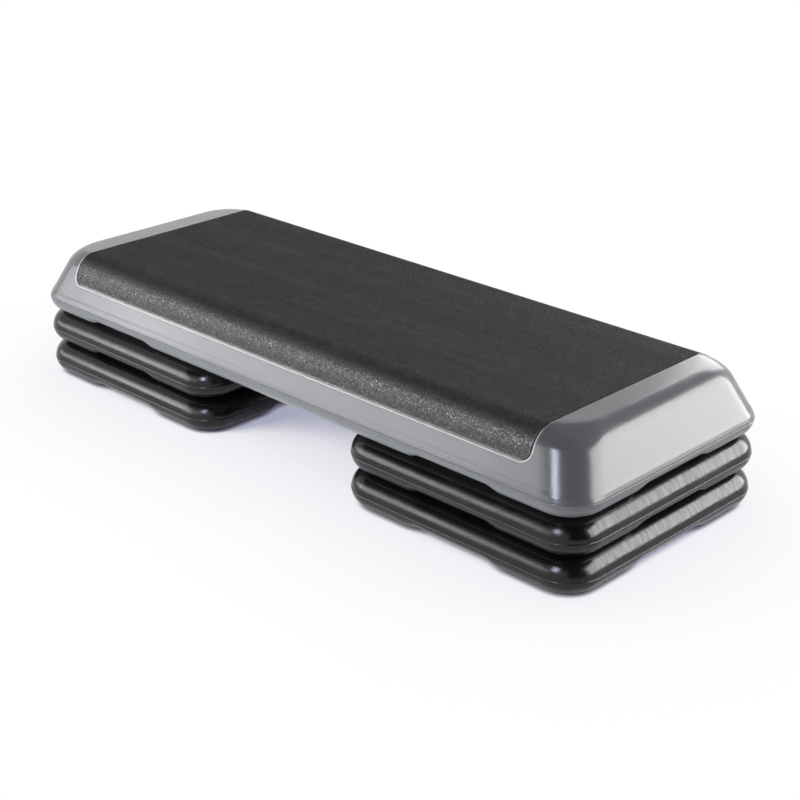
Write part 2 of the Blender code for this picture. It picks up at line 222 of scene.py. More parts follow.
def axes(tree, whole):
    """The X, Y and Z of a vector."""
    return add_node(tree, "ShaderNodeSeparateXYZ", {0: whole}).outputs


def new_tree(name, **inputs):
    """A geometry tree with its inputs' names listed by kind of socket, and one geometry output."""
    tree = bpy.data.node_groups.new(name, "GeometryNodeTree")
    for kind, labels in inputs.items():
        for label in labels:
            tree.interface.new_socket(label, in_out="INPUT", socket_type="NodeSocket" + kind)
    tree.interface.new_socket("Geometry", in_out="OUTPUT", socket_type="NodeSocketGeometry")
    return tree, tree.nodes.new("NodeGroupInput").outputs


def close_tree(tree, result, material):
    """Ends a tree in a real mesh of one material."""
    real = add_node(tree, "GeometryNodeRealizeInstances", {"Geometry": result})
    finished = add_node(tree, "GeometryNodeSetMaterial", {"Geometry": real, "Material": material})
    add_node(tree, "NodeGroupOutput", {0: finished})


def settle(piece, modifier):
    """Puts what a modifier makes in place of the piece's mesh."""
    bpy.context.view_layer.update()
    graph = bpy.context.evaluated_depsgraph_get()
    mesh = bpy.data.meshes.new_from_object(piece.evaluated_get(graph))
    piece.modifiers.remove(modifier)
    piece.data = mesh


def made_by(tree, name, values, source=None):
    """The plain mesh object that a tree makes from named values, with its place in its mesh."""
    body = new_object(name, source or bpy.data.meshes.new(name))
    modifier = body.modifiers.new("build", "NODES")
    modifier.node_group = tree
    for item in tree.interface.items_tree:
        if item.in_out == "INPUT" and item.name in values:
            modifier[item.identifier] = values[item.name]
    settle(body, modifier)
    body.data.name = name
    return body


def smooth(piece, angle):
    """Shades a finished piece smooth, but for its real edges, with large faces kept flat."""
    piece.data.shade_smooth()
    piece.data.set_sharp_from_angle(angle=math.radians(angle))
    weighted = piece.modifiers.new("weighted_normals", "WEIGHTED_NORMAL")
    weighted.keep_sharp = True
    settle(piece, weighted)


def finger_relief_tree():
    """Lifts an underside in a soft arch at the middle of each side, as far up as the widest line."""
    tree, given = new_tree("finger_relief", Geometry=["Geometry"],
                           Float=["Half Length", "Half Width", "Side Centre", "Bottom Round", *RELIEF])
    place = axes(tree, add_node(tree, "GeometryNodeInputPosition"))
    from_middle_x = maths(tree, "ABSOLUTE", place["X"])
    from_middle_y = maths(tree, "ABSOLUTE", place["Y"])

    def fall(distance, reach, ramp):
        return remap(tree, distance, minus(tree, reach, given[ramp]), reach, 1.0, 0.0)

    half_width = times(tree, given["Relief Width"], 0.5)
    along_side = maths(tree, "ABSOLUTE", minus(tree, from_middle_x, given["Side Centre"]))
    side_depth = minus(tree, given["Half Width"], from_middle_y)
    end_depth = minus(tree, given["Half Length"], from_middle_x)
    shares = []
    for along, depth in ((along_side, side_depth), (from_middle_y, end_depth)):
        inward = fall(depth, given["Relief Depth"], "Inner Ramp")
        shares.append(times(tree, fall(along, half_width, "Relief Ramp"), inward))
    fade = maths(tree, "DIVIDE", place["Z"], given["Bottom Round"])
    fade = maths(tree, "SUBTRACT", 1.0, fade, clamp=True)
    lift = times(tree, times(tree, maths(tree, "MAXIMUM", *shares), fade), given["Relief Height"])
    inputs = {"Geometry": given["Geometry"], "Offset": vector(tree, Z=lift)}
    add_node(tree, "NodeGroupOutput", {0: add_node(tree, "GeometryNodeSetPosition", inputs)})
    return tree


def with_reliefs(tree, relief, given, sizes):
    """A moulding with its finger reliefs, formed by the tree's inputs of the same names."""
    form = {name: given[name] for name in ("Bottom Round", *RELIEF)}
    return add_node(tree, "GeometryNodeGroup", {**form, **sizes}, node_tree=relief)


def shape_from(tree, helper):
    """The geometry of a helper object."""
    return add_node(tree, "GeometryNodeObjectInfo", {"Object": helper}).outputs["Geometry"]


def moved(tree, geometry, offset):
    """Geometry moved by an offset."""
    return add_node(tree, "GeometryNodeTransform", {"Geometry": geometry, "Translation": offset})


def pattern(tree, helper, size, counts=(2, 2), centre=(0.0, 0.0, 0.0)):
    """Copies of a helper's shape on the points of a flat grid, which by default are its corners."""
    inputs = {"Size X": size[0], "Size Y": size[1], "Vertices X": counts[0], "Vertices Y": counts[1]}
    grid = moved(tree, add_node(tree, "GeometryNodeMeshGrid", inputs), centre)
    instances = {"Points": grid, "Instance": shape_from(tree, helper)}
    copies = add_node(tree, "GeometryNodeInstanceOnPoints", instances)
    return add_node(tree, "GeometryNodeRealizeInstances", {"Geometry": copies})


def combined(tree, operation, body, shapes):
    """A solid with other solids added to it or cut from it."""
    node = add_node(tree, "GeometryNodeMeshBoolean", operation=operation, solver="MANIFOLD")
    feed(tree, node, {"Mesh 1" if operation == "DIFFERENCE" else "Mesh 2": body})
    for shape in shapes:
        feed(tree, node, {"Mesh 2": shape})
    return node


def riser_tree(relief):
    """The whole moulding: the side profile swept round the plan, its flats, and its details."""
    tree, given = new_tree(
        "riser_moulding", Vector=["Place"], Material=["Material"],
        Float=["Size", "Height", "Corner Radius", "Sweep Step", "Bottom Round", "Lug Spacing",
               "Foot Spacing", *RELIEF],
        Object=["Profile", "Lug", "Socket", "Well", "Pocket", "Vent"])

    square = add_node(tree, "GeometryNodeCurvePrimitiveQuadrilateral",
                      {"Width": given["Size"], "Height": given["Size"]})
    plan = add_node(tree, "GeometryNodeFilletCurve",
                    {"Curve": square, "Radius": given["Corner Radius"], "Count": 24}, mode="POLY")
    even = add_node(tree, "GeometryNodeResampleCurve",
                    {"Curve": plan, "Length": given["Sweep Step"]}, mode="LENGTH")
    upright = add_node(tree, "GeometryNodeSetCurveNormal", {"Curve": even}, mode="Z_UP")
    swept = add_node(tree, "GeometryNodeCurveToMesh",
                     {"Curve": upright, "Profile Curve": shape_from(tree, given["Profile"])})
    side = add_node(tree, "GeometryNodeFlipFaces", {"Mesh": swept})

    rim = add_node(tree, "GeometryNodeInputMeshEdgeNeighbors")
    open_edge = add_node(tree, "FunctionNodeCompare", {2: rim, 3: 1}, data_type="INT", operation="EQUAL")
    height = axes(tree, add_node(tree, "GeometryNodeInputPosition"))["Z"]
    middle = times(tree, given["Height"], 0.5)
    flats = []
    for operation in ("LESS_THAN", "GREATER_THAN"):
        here = maths(tree, operation, height, middle)
        chosen = add_node(tree, "FunctionNodeBooleanMath", {0: open_edge, 1: here}, operation="AND")
        loop = add_node(tree, "GeometryNodeMeshToCurve", {"Mesh": side, "Selection": chosen})
        flats.append(add_node(tree, "GeometryNodeFillCurve", {"Curve": loop}, mode="NGONS"))
    underside = add_node(tree, "GeometryNodeFlipFaces", {"Mesh": flats[0]})
    top = vector(tree, Z=given["Height"])
    sheets = tree.nodes.new("GeometryNodeJoinGeometry")
    for sheet in (side, underside, moved(tree, flats[1], top)):
        feed(tree, sheets, {0: sheet})
    closed = add_node(tree, "GeometryNodeMergeByDistance", {"Geometry": sheets, "Distance": WELD_DISTANCE})

    half = times(tree, given["Size"], 0.5)
    arched = with_reliefs(tree, relief, given, {"Geometry": closed, "Half Length": half, "Half Width": half})
    lug_square = (given["Lug Spacing"],) * 2
    foot_square = (given["Foot Spacing"],) * 2
    cuts = [
        pattern(tree, given["Socket"], lug_square),
        pattern(tree, given["Pocket"], foot_square),
        shape_from(tree, given["Well"]),
        shape_from(tree, given["Vent"]),
    ]
    solid = combined(tree, "UNION", arched, [pattern(tree, given["Lug"], lug_square, centre=top)])
    solid = combined(tree, "DIFFERENCE", solid, cuts)
    close_tree(tree, moved(tree, solid, given["Place"]), given["Material"])
    return tree


def profile_object(name, points):
    """An open curve for a sweep: across is how far in from the path, up is the height."""
    curve = bpy.data.curves.new(name, "CURVE")
    curve.dimensions = "3D"
    line = curve.splines.new("POLY")
    line.points.add(len(points) - 1)
    for point, (inset, height) in zip(line.points, points):
        point.co = (-inset, -height, 0.0, 1.0)
    return new_object(name, curve)


def lower_profile(flat_reach, bottom_round, ridge):
    """(inset, height) points from the flat underside up to the parting ridge at the widest line."""
    flat_steps = 8
    round_steps = 14
    first = bottom_round + ridge
    points = [(flat_reach + (first - flat_reach) * step / flat_steps, 0.0) for step in range(flat_steps)]
    points += arc(first, bottom_round, bottom_round, 0, 90, round_steps)[:-1]
    for inset, above in ((ridge, -1.5), (0.0, 0.0), (ridge, 1.5)):
        points.append((inset, bottom_round + ridge * above))
    return points


def riser_profile():
    """(inset, height) points from the flat underside round the bullnose to the flat top."""
    top_round = riser_height - RISER_BOTTOM_ROUND
    points = lower_profile(RISER_FLAT_REACH, RISER_BOTTOM_ROUND, PARTING_RIDGE)
    points += arc(top_round + PARTING_RIDGE, RISER_BOTTOM_ROUND, top_round, 90, 180, 16)[1:]
    points.append((RISER_FLAT_REACH, riser_height))
    return points


def blank_material(name):
    """A material and its tree."""
    material = bpy.data.materials.new(name)
    material.use_nodes = True
    return material, material.node_tree


def new_material(name):
    """A material with its tree, its shader and the place on the piece that its patterns read."""
    material, tree = blank_material(name)
    place = tree.nodes.new("ShaderNodeTexCoord").outputs["Object"]
    return material, tree, tree.nodes["Principled BSDF"], place


def noise(tree, place, waves, detail=2.0, roughness=0.5):
    """The value of a noise with so many waves per metre, all ways alike or along X, Y and Z."""
    scales = waves if isinstance(waves, tuple) else (waves, waves, waves)
    stretched = add_node(tree, "ShaderNodeVectorMath", {0: place, 1: scales}, operation="MULTIPLY")
    inputs = {"Vector": stretched, "Scale": 1.0, "Detail": detail, "Roughness": roughness}
    return add_node(tree, "ShaderNodeTexNoise", inputs).outputs["Fac"]


def tints(tree, value, *stops):
    """A colour ramp through (position, colour) stops."""
    ramp = add_node(tree, "ShaderNodeValToRGB", {"Fac": value})
    while len(ramp.color_ramp.elements) < len(stops):
        ramp.color_ramp.elements.new(0.5)
    for element, (position, colour) in zip(ramp.color_ramp.elements, stops):
        element.position = position
        element.color = (*colour, 1.0)
    return ramp.outputs["Color"]


def mixed(tree, share, first, second, kind="FLOAT"):
    """A blend of two values, or of two colours where the kind is RGBA."""
    inputs = {"Factor": share, "A": first, "B": second}
    return add_node(tree, "ShaderNodeMix", inputs, data_type=kind).outputs["Result"]


def relief_bumps(tree, shader, layers):
    """Stacks (height, depth in metres) layers of bump on a shader."""
    below = None
    for height, depth in layers:
        inputs = {"Height": height, "Distance": depth, "Strength": 1.0}
        if below:
            inputs["Normal"] = below
        below = add_node(tree, "ShaderNodeBump", inputs)
    feed(tree, shader, {"Normal": below})


def drawn_streaks(tree, place, facing):
    """Fine streaks up each side, left by the mould, and clearer on the ends than on the long sides."""
    fine = 190.0
    coarse = 50.0
    on_side = remap(tree, noise(tree, place, (fine, 0.0, coarse), 3.0), 0.0, 1.0, 0.45, 0.55)
    on_end = noise(tree, place, (0.0, fine, coarse), 3.0)
    across = maths(tree, "ABSOLUTE", facing["X"])
    along = maths(tree, "ABSOLUTE", facing["Y"])
    end_share = maths(tree, "DIVIDE", across, plus(tree, plus(tree, across, along), 0.01))
    return mixed(tree, remap(tree, end_share, 0.35, 0.65), on_side, on_end)


def black_polyethylene_material():
    """Satin black, with an orange-peel skin, faint waves, streaks on its sides and duller flats."""
    material, tree, shader, place = new_material("black_polyethylene")
    facing = axes(tree, tree.nodes.new("ShaderNodeTexCoord").outputs["Normal"])
    clouds = noise(tree, place, 14.0, 3.0)
    grain = noise(tree, place, 900.0)
    streaks = drawn_streaks(tree, place, facing)
    peel = noise(tree, place, 260.0)
    shade = plus(tree, times(tree, clouds, 0.7), times(tree, grain, 0.3))
    wave_gloss = remap(tree, clouds, 0.35, 0.65, 0.17, 0.23)
    streak_gloss = remap(tree, streaks, 0.35, 0.65, -0.02, 0.05)
    on_flat = remap(tree, maths(tree, "ABSOLUTE", facing["Z"]), 0.96, 1.0)
    flat_roughness = 0.42
    feed(tree, shader, {
        "Base Color": tints(tree, shade, (0.30, (0.0066, 0.0064, 0.0062)), (0.70, (0.0108, 0.0105, 0.0102))),
        "Roughness": mixed(tree, on_flat, plus(tree, wave_gloss, streak_gloss), flat_roughness),
        "Specular IOR Level": remap(tree, streaks, 0.32, 0.68, 0.385, 0.275),
    })
    relief_bumps(tree, shader, [(clouds, 0.0009), (streaks, 0.00009), (peel, 0.00004), (grain, 0.00001)])
    return material


black_polyethylene = black_polyethylene_material()
relief_tree = finger_relief_tree()
riser_moulding = riser_tree(relief_tree)
riser_side = profile_object("riser_side", riser_profile())
lug_base = LUG_BASE_DIAMETER / 2
lug_tip = LUG_TOP_DIAMETER / 2
lug_brim = lug_base + 2 * CUTTER_REACH
lug_shape = turned("lug_shape", rounded([
    (0, -CUTTER_REACH, 0), (lug_brim, -CUTTER_REACH, 0), (lug_brim, -CUTTER_BRIM, 0),
    (lug_base, 0, LUG_FOOT_ROUND), (lug_tip, LUG_HEIGHT, LUG_TIP_ROUND), (0, LUG_HEIGHT, 0)]))
socket_shape = hollow("socket_shape", lug_base + SOCKET_CLEARANCE, lug_tip + SOCKET_CLEARANCE,
                      SOCKET_DEPTH, lip=LUG_FOOT_ROUND, floor_round=0.0018)
riser_well_shape = hollow("riser_well_shape", RISER_WELL_MOUTH_DIAMETER / 2, RISER_WELL_TIP_DIAMETER / 2,
                          RISER_WELL_DEPTH, lip=0.006, floor_round=0.005)
pocket_shape = hollow("pocket_shape", POCKET_DIAMETER / 2, POCKET_DIAMETER / 2, POCKET_DEPTH,
                      lip=0.0006, floor_round=0.0004)
vent_shape = hollow("vent_shape", **VENT)
vent_shape.location.y = VENT_Y

for riser in RISERS:
    low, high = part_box(riser + "_shell")
    shell = made_by(riser_moulding, riser + "_moulding", {
        "Size": riser_size,
        "Height": riser_height,
        "Corner Radius": RISER_CORNER_RADIUS,
        "Sweep Step": SWEEP_STEP,
        "Bottom Round": RISER_BOTTOM_ROUND,
        **RELIEF,
        "Lug Spacing": LUG_SPACING,
        "Foot Spacing": riser_foot_spacing,
        "Profile": riser_side,
        "Lug": lug_shape,
        "Socket": socket_shape,
        "Well": riser_well_shape,
        "Pocket": pocket_shape,
        "Vent": vent_shape,
        "Place": ((low.x + high.x) / 2, 0.0, low.z),
        "Material": black_polyethylene,
    })
    smooth(shell, 40)
    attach(shell, riser)
    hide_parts(riser + "_shell")

# Deck shell
# One hollow blow moulding in grey polyethylene. Its sides slope in from a rounded lip to a soft
# top edge, a recess with a rounded rim takes the tread, and the underside is drawn up into two
# rows of tack-off wells, with sockets for the lugs of the risers below it.
DECK_CORNER_RADIUS = 0.0550
DECK_BOTTOM_ROUND = 0.0224
DECK_LIP_ROUND = 0.0100
DECK_TOP_ROUND = 0.0340
DECK_TOP_STEPS = 14
DECK_SLOPE = math.radians(66.5)
DECK_FLAT_REACH = 0.0480
DECK_WELL_COLUMNS = 7
DECK_WELL_ROWS = 2
DECK_WELL_ROW_SPACING = 0.1040
DECK_WELL_MOUTH_DIAMETER = 0.0360
DECK_WELL_TIP_DIAMETER = 0.0220
DECK_WELL_DEPTH = 0.0860
TREAD_END_MARGIN = 0.0876
TREAD_SIDE_DROP = 0.0400
TREAD_CORNER_RADIUS = 0.0130
RECESS_DEPTH = 0.0025
RECESS_SEAM = 0.0018
RECESS_RIM_ROUND = 0.0004
RIM_BEAD_WIDTH = 0.0034
RIM_BEAD_HEIGHT = 0.00025
SKIRT_RISE = 0.0046
SKIRT_FADE = 0.0050
SKIRT_BULGE = 0.00038
SKIRT_LEAD = 0.0026
DECK_PARTING_RIDGE = 0.0003

deck_low, deck_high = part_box("deck_shell")
deck_half_length = deck_high.x
deck_half_width = deck_high.y
deck_height = deck_high.z - deck_low.z
stack_x = deck_half_length - riser_size / 2
slope_facing = 180 - math.degrees(DECK_SLOPE)


def slope_inset(height):
    """How far in the sloping side is at a height above the deck's bottom."""
    lip_facing = math.pi - DECK_SLOPE
    lip_inset = DECK_LIP_ROUND * (1 - math.sin(lip_facing)) + DECK_PARTING_RIDGE
    lip_height = DECK_BOTTOM_ROUND - DECK_LIP_ROUND * math.cos(lip_facing)
    return lip_inset + (height - lip_height) / math.tan(DECK_SLOPE)


def deck_top_arc():
    """The round from the sloping side to the flat top."""
    centre_height = deck_height - DECK_TOP_ROUND
    start_height = centre_height + DECK_TOP_ROUND * math.cos(DECK_SLOPE)
    centre_inset = slope_inset(start_height) + DECK_TOP_ROUND * math.sin(DECK_SLOPE)
    return arc(centre_inset, centre_height, DECK_TOP_ROUND, slope_facing, 180, DECK_TOP_STEPS)


def deck_profile():
    """(inset, height) points from the underside round the lip and its skirt, and up to the top."""
    points = lower_profile(DECK_FLAT_REACH, DECK_BOTTOM_ROUND, DECK_PARTING_RIDGE)
    lip = arc(DECK_LIP_ROUND + DECK_PARTING_RIDGE, DECK_BOTTOM_ROUND, DECK_LIP_ROUND, 90, slope_facing, 5)
    points += lip[1:]
    top = deck_top_arc()
    skirt = lip[-1][1] + SKIRT_RISE
    points.append((slope_inset(skirt - SKIRT_LEAD) - SKIRT_BULGE / 2, skirt - SKIRT_LEAD))
    for place, share in ((-0.25, 1.0), (0.1, 0.86), (0.4, 0.5), (0.7, 0.16), (1.0, 0.03), (1.3, 0.0)):
        height = skirt + place * SKIRT_FADE
        points.append((slope_inset(height) - share * SKIRT_BULGE, height))
    slope_start = skirt + SKIRT_FADE * 1.3
    slope_steps = 6
    for step in range(1, slope_steps):
        height = slope_start + (top[0][1] - slope_start) * step / slope_steps
        points.append((slope_inset(height), height))
    points += top
    flat_lead = 0.006
    points.append((top[-1][0] + flat_lead, deck_height))
    return points


def side_marks(half, centres):
    """Where a straight side gets points, from one end to the other, close at the finger reliefs."""
    marks = {-half, half}
    reach = RELIEF["Relief Width"] / 2
    ramp_steps = 12
    spacing = 0.012
    for centre in centres:
        for end in (-1, 1):
            for step in range(ramp_steps + 1):
                marks.add(centre + end * (reach - RELIEF["Relief Ramp"] * step / ramp_steps))
    ordered = sorted(marks)
    filled = []
    for start, end in zip(ordered, ordered[1:]):
        pieces = max(1, int((end - start) / spacing + 0.5))
        filled += [start + (end - start) * i / pieces for i in range(pieces)]
    return filled[1:]


def deck_ring(inset, height):
    """One level ring, anticlockwise from above. Above the widest line a corner keeps its radius."""
    radius = DECK_CORNER_RADIUS - (inset if height < DECK_BOTTOM_ROUND else 0.0)
    half_x = deck_half_length - inset
    half_y = deck_half_width - inset
    corner_steps = 18
    straight_x = deck_half_length - DECK_CORNER_RADIUS
    straight_y = deck_half_width - DECK_CORNER_RADIUS
    long_marks = [mark * (half_x - radius) / straight_x
                  for mark in side_marks(straight_x, (-stack_x, stack_x))]
    short_marks = [mark * (half_y - radius) / straight_y for mark in side_marks(straight_y, (0.0,))]
    ring = []
    for quarter in range(4):
        sign_x = 1 if quarter in (0, 3) else -1
        along = -1 if quarter < 2 else 1
        for step in range(corner_steps + 1):
            angle = math.pi / 2 * (quarter + step / corner_steps)
            x = sign_x * (half_x - radius) + radius * math.cos(angle)
            y = -along * (half_y - radius) + radius * math.sin(angle)
            ring.append((x, y, height))
        if quarter % 2 == 0:
            ring += [(along * mark, -along * half_y, height) for mark in long_marks]
        else:
            ring += [(along * half_x, along * mark, height) for mark in short_marks]
    return ring


def lofted(name, rings):
    """A closed mesh through rings of equal length, with a flat at each end."""
    count = len(rings[0])
    points = [point for ring in rings for point in ring]
    faces = [tuple(reversed(range(count)))]
    for level in range(len(rings) - 1):
        lower = level * count
        upper = lower + count
        for i in range(count):
            j = (i + 1) % count
            faces.append((lower + i, lower + j, upper + j, upper + i))
    last = (len(rings) - 1) * count
    faces.append(tuple(range(last, last + count)))
    mesh = bpy.data.meshes.new(name)
    mesh.from_pydata(points, [], faces)
    return mesh


def sheet_layer(margin, depth, proud=0.0):
    """Half lengths and (y, z) places across the deck, of an outline on a skin under its surface.

    The margin is how far the outline lies outside the tread's own, and depth is how deep the skin is.
    Proud is how far the skin stands out on the slope, which dies away over the top round.
    """
    low = deck_height - TREAD_SIDE_DROP
    radius = TREAD_CORNER_RADIUS + margin
    half_length = deck_half_length - TREAD_END_MARGIN + margin
    near = []
    corner_steps = 10
    for step in range(corner_steps + 1):
        angle = math.pi / 2 * step / corner_steps
        up = radius * (1 - math.cos(angle)) - margin
        height = low + up * math.sin(DECK_SLOPE)
        half = half_length - radius * (1 - math.sin(angle))
        near.append((half, slope_inset(height), height, math.pi - DECK_SLOPE, 1.0))
    turn = DECK_SLOPE / DECK_TOP_STEPS
    fade_steps = 9
    for step, (inset, height) in enumerate(deck_top_arc()):
        share = max(0.0, 1 - step / fade_steps)
        near.append((half_length, inset, height, math.pi - DECK_SLOPE + turn * step, share))
    places = []
    for half, inset, height, facing, share in near:
        deep = depth - proud * share
        y = deck_half_width - inset - deep * math.sin(facing)
        places.append((half, -y, height + deep * math.cos(facing)))
    return places + [(half, -y, z) for half, y, z in reversed(places)]


def sheet_block(name, layers):
    """A closed block through skins of equal count, from the deepest to the shallowest."""
    count = len(layers[0])
    points = []
    for layer in layers:
        points += [(-half, y, z) for half, y, z in layer]
        points += [(half, y, z) for half, y, z in layer]

    def at(level, end, i):
        return (2 * level + end) * count + i

    top = len(layers) - 1
    faces = []
    for i in range(count - 1):
        faces.append((at(0, 0, i), at(0, 0, i + 1), at(0, 1, i + 1), at(0, 1, i)))
        faces.append((at(top, 0, i), at(top, 1, i), at(top, 1, i + 1), at(top, 0, i + 1)))
    for level in range(top):
        for i in range(count - 1):
            for end in (0, 1):
                here, above = at(level, end, i), at(level + 1, end, i)
                faces.append((here, here + 1, above + 1, above))
        for i in (0, count - 1):
            faces.append((at(level, 0, i), at(level, 1, i), at(level + 1, 1, i), at(level + 1, 0, i)))
    mesh = bpy.data.meshes.new(name)
    mesh.from_pydata(points, [], faces)
    skin = bmesh.new()
    skin.from_mesh(mesh)
    bmesh.ops.recalc_face_normals(skin, faces=skin.faces)
    skin.to_mesh(mesh)
    skin.free()
    return mesh


def quarter_round(radius, share=1.0):
    """(depth, step aside) pairs up a rounded edge, over a share of its quarter turn."""
    steps = 5
    pairs = []
    for step in range(steps + 1):
        angle = math.pi / 2 * step / steps * share
        pairs.append((radius * (1 - math.sin(angle)), radius * (1 - math.cos(angle))))
    return pairs


def recess_cutter():
    """What the tread's recess takes away: it flares at the surface, which leaves a rounded rim."""
    layers = [sheet_layer(RECESS_SEAM, RECESS_DEPTH)]
    for depth, flare in quarter_round(RECESS_RIM_ROUND, share=0.94):
        layers.append(sheet_layer(RECESS_SEAM + flare, depth))
    for height_outside in (0.0006, 0.0030):
        layers.append(sheet_layer(RECESS_SEAM + RECESS_RIM_ROUND * 1.6, -height_outside))
    return new_object("recess_shape", sheet_block("recess_shape", layers))


def rim_bead():
    """A low round bead that the mould raises round the tread on the slopes. It dies away at the top."""
    outer = RECESS_SEAM + RIM_BEAD_WIDTH
    layers = [sheet_layer(outer - 0.0010, 0.0020), sheet_layer(outer, 0.0002)]
    steps = 10
    edge_share = 0.3
    step_in = 0.00006
    sunk = 0.00004
    for step in range(steps):
        rise = edge_share + (1 - edge_share) * math.sin(math.pi * step / steps)
        margin = outer - step_in - RIM_BEAD_WIDTH * step / steps
        layers.append(sheet_layer(margin, sunk, rise * RIM_BEAD_HEIGHT))
    return new_object("bead_shape", sheet_block("bead_shape", layers))


def deck_tree(relief):
    """The deck's underside and recess, cut from its plain outer shape."""
    tree, given = new_tree(
        "deck_moulding", Geometry=["Geometry"], Int=["Well Columns", "Well Rows"], Material=["Material"],
        Float=["Half Length", "Half Width", "Stack Centre", "Bottom Round", "Lug Spacing", "Foot Length",
               "Foot Width", "Well Length", "Well Width", "Base Height", *RELIEF],
        Object=["Socket", "Well", "Pocket", "Vent", "Recess", "Bead"])
    sizes = {name: given[name] for name in ("Geometry", "Half Length", "Half Width")}
    arched = with_reliefs(tree, relief, given, {**sizes, "Side Centre": given["Stack Centre"]})
    lug_square = (given["Lug Spacing"],) * 2
    cuts = [
        pattern(tree, given["Pocket"], (given["Foot Length"], given["Foot Width"])),
        pattern(tree, given["Well"], (given["Well Length"], given["Well Width"]),
                (given["Well Columns"], given["Well Rows"])),
        shape_from(tree, given["Vent"]),
    ]
    for side in (1.0, -1.0):
        centre = vector(tree, X=times(tree, given["Stack Centre"], side))
        cuts.append(pattern(tree, given["Socket"], lug_square, centre=centre))
    solid = combined(tree, "DIFFERENCE", arched, cuts)
    solid = combined(tree, "UNION", solid, [shape_from(tree, given["Bead"])])
    solid = combined(tree, "DIFFERENCE", solid, [shape_from(tree, given["Recess"])])
    close_tree(tree, moved(tree, solid, vector(tree, Z=given["Base Height"])), given["Material"])
    return tree


def under_top(tree, level, lower, upper, at_lower=0.0, at_upper=1.0):
    """A share that changes between two depths under the deck's top."""
    return remap(tree, level, deck_high.z - lower, deck_high.z - upper, at_lower, at_upper)


def beyond_tread(tree, place):
    """How far outside the tread's outline a point on a slope is, and a share that ends at the top."""
    at = axes(tree, place)
    low = deck_high.z - TREAD_SIDE_DROP + TREAD_CORNER_RADIUS * math.sin(DECK_SLOPE)
    past_end = minus(tree, maths(tree, "ABSOLUTE", at["X"]),
                     deck_half_length - TREAD_END_MARGIN - TREAD_CORNER_RADIUS)
    under = maths(tree, "DIVIDE", minus(tree, low, at["Z"]), math.sin(DECK_SLOPE))
    legs = [maths(tree, "POWER", maths(tree, "MAXIMUM", leg, 0.0), 2.0) for leg in (past_end, under)]
    corner = maths(tree, "SQRT", plus(tree, *legs))
    return minus(tree, corner, TREAD_CORNER_RADIUS), under_top(tree, at["Z"], 0.0080, 0.0010, 1.0, 0.0)


def rim_shares(tree, place):
    """Shares of the bead round the tread, with a painted highlight, and of the seam inside it, with painted
    shade.
    """
    beyond, below_top = beyond_tread(tree, place)
    blur = 0.0004
    inner_edge = remap(tree, beyond, RECESS_SEAM - blur, RECESS_SEAM + blur)
    reach = RECESS_SEAM + RIM_BEAD_WIDTH
    fade = 0.0020
    outer_edge = remap(tree, beyond, reach - fade, reach - blur, 1.0, 0.0)
    bead = times(tree, times(tree, inner_edge, outer_edge), below_top)
    seam = times(tree, minus(tree, 1.0, inner_edge), below_top)
    return bead, seam


def grey_polyethylene_material():
    """Satin grey, with broad waves and a fine orange-peel skin, and faint flow streaks along the sides."""
    material, tree, shader, place = new_material("grey_polyethylene")
    clouds = noise(tree, place, 9.0, 3.0)
    flow = noise(tree, place, (7.0, 60.0, 110.0), 4.0, 0.6)
    peel = noise(tree, place, 240.0)
    grain = noise(tree, place, 1100.0)
    shade = plus(tree, times(tree, clouds, 0.6), times(tree, flow, 0.4))
    tint = tints(tree, shade, (0.30, (0.166, 0.176, 0.193)), (0.70, (0.188, 0.198, 0.215)))
    bead, seam = rim_shares(tree, place)
    # A pale painted highlight for the bead round the tread.
    painted_highlight_and_rub_band = (0.74, 0.74, 0.75)
    # Near-black painted shade for the seam between the bead and the tread.
    painted_seam_shade = (0.02, 0.02, 0.021)
    wave_gloss = remap(tree, clouds, 0.3, 0.7, 0.19, 0.225)
    flow_gloss = remap(tree, flow, 0.3, 0.7, -0.01, 0.03)
    feed(tree, shader, {
        "Base Color": mixed(tree, seam, mixed(tree, bead, tint, painted_highlight_and_rub_band, "RGBA"), painted_seam_shade, "RGBA"),
        "Roughness": plus(tree, wave_gloss, flow_gloss),
        "Specular IOR Level": 0.385,
    })
    relief_bumps(tree, shader, [(clouds, 0.0010), (flow, 0.00006), (peel, 0.00003), (grain, 0.000006)])
    return material


grey_polyethylene = grey_polyethylene_material()
deck_well_shape = hollow("deck_well_shape", DECK_WELL_MOUTH_DIAMETER / 2, DECK_WELL_TIP_DIAMETER / 2,
                         DECK_WELL_DEPTH, lip=0.006, floor_round=0.005)
deck_vent_shape = hollow("deck_vent_shape", **VENT)
recess_shape = recess_cutter()
bead_shape = rim_bead()
deck = made_by(deck_tree(relief_tree), "deck_moulding", {
    "Half Length": deck_half_length,
    "Half Width": deck_half_width,
    "Stack Centre": stack_x,
    "Bottom Round": DECK_BOTTOM_ROUND,
    **RELIEF,
    "Lug Spacing": LUG_SPACING,
    "Foot Length": 2 * stack_x + riser_foot_spacing,
    "Foot Width": riser_foot_spacing,
    "Well Length": 2 * stack_x,
    "Well Width": DECK_WELL_ROW_SPACING,
    "Well Columns": DECK_WELL_COLUMNS,
    "Well Rows": DECK_WELL_ROWS,
    "Socket": socket_shape,
    "Well": deck_well_shape,
    "Pocket": pocket_shape,
    "Vent": deck_vent_shape,
    "Recess": recess_shape,
    "Bead": bead_shape,
    "Base Height": deck_low.z,
    "Material": grey_polyethylene,
}, lofted("deck_outside", [deck_ring(inset, height) for inset, height in deck_profile()]))
smooth(deck, 40)
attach(deck, "deck")
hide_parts("deck_shell")

# Tread
# A black rubber sheet, moulded with a pebble grain, bent over the deck's long edges and glued into
# its recess. Its edge is softly rounded.
TREAD_THICKNESS = 0.0022
TREAD_EDGE_ROUND = 0.0009


